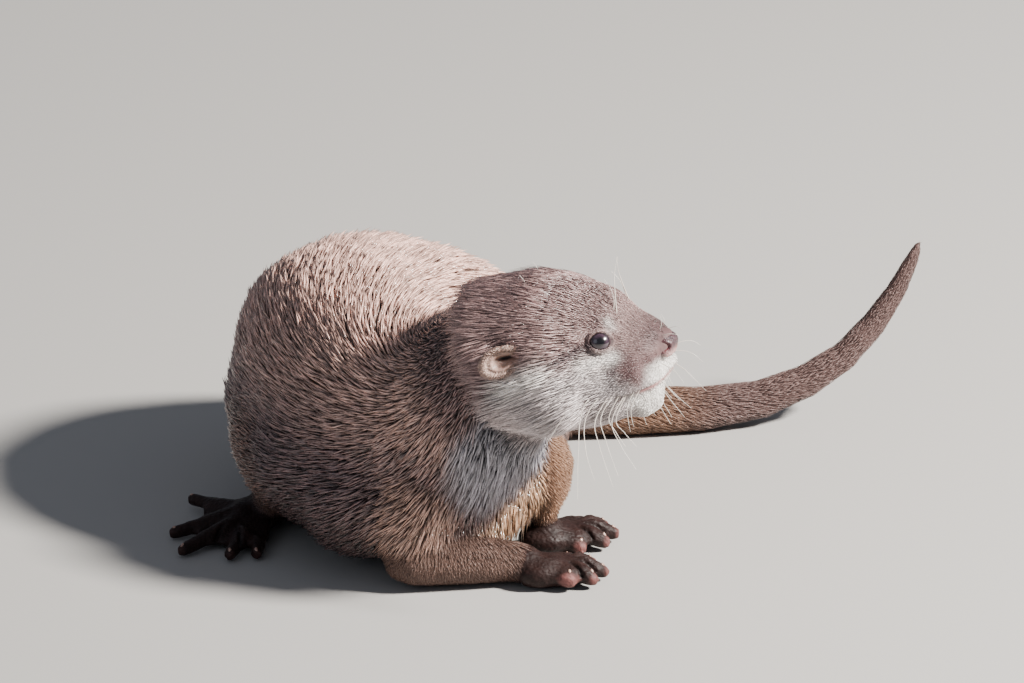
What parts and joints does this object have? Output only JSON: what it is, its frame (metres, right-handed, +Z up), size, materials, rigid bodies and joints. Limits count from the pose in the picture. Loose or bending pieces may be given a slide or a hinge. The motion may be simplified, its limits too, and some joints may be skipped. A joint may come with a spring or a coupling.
{
  "type": "small-clawed otter figure",
  "caption": "Life-size crouching small-clawed otter with a rounded wet coat, blunt whiskered muzzle, small round ears, finger-like paws and a thick curved tail.",
  "frame": {"origin": "middle of the footprint's bounding box, on the floor the paws stand on", "axes": "+Z up; +X the way the head, fore paws and tail tip point; +Y from the head's side towards the tail root's side"},
  "size_m": [0.3502, 0.2484, 0.1513],
  "materials": {
    "coat": "wet-look short fur, satin",
    "pale_coat": "short fur, satin",
    "tail_coat": "short sleek fur, satin",
    "bare_skin": "moist bare skin",
    "nose_skin": "moist pebbled skin",
    "eye": "glossy, opaque dark brown",
    "claw": "small horn nails, glossy"
  },
  "bodies": {
    "root": {"chest": "coat", "ear_left": "coat", "ear_right": "coat", "eye_left": "eye", "eye_right": "eye", "fore_paw_left": "bare_skin", "fore_paw_left_claw_1": "claw", "fore_paw_left_claw_2": "claw", "fore_paw_left_claw_3": "claw", "fore_paw_left_claw_4": "claw", "fore_paw_left_claw_5": "claw", "fore_paw_right": "bare_skin", "fore_paw_right_claw_1": "claw", "fore_paw_right_claw_2": "claw", "fore_paw_right_claw_3": "claw", "fore_paw_right_claw_4": "claw", "fore_paw_right_claw_5": "claw", "forearm_left": "coat", "forearm_right": "coat", "head": "pale_coat", "hind_foot_left": "bare_skin", "hind_foot_left_claw_1": "claw", "hind_foot_left_claw_2": "claw", "hind_foot_left_claw_3": "claw", "hind_foot_left_claw_4": "claw", "hind_foot_left_claw_5": "claw", "hind_foot_right": "bare_skin", "hind_foot_right_claw_1": "claw", "hind_foot_right_claw_2": "claw", "hind_foot_right_claw_3": "claw", "hind_foot_right_claw_4": "claw", "hind_foot_right_claw_5": "claw", "loins": "coat", "neck": "coat", "nose_pad": "nose_skin", "rump": "coat", "shin_left": "coat", "shin_right": "coat", "tail_1": "tail_coat", "tail_2": "tail_coat", "tail_3": "tail_coat", "tail_4": "tail_coat", "thigh_left": "coat", "thigh_right": "coat", "upper_arm_left": "coat", "upper_arm_right": "coat"}
  },
  "joints": []
}
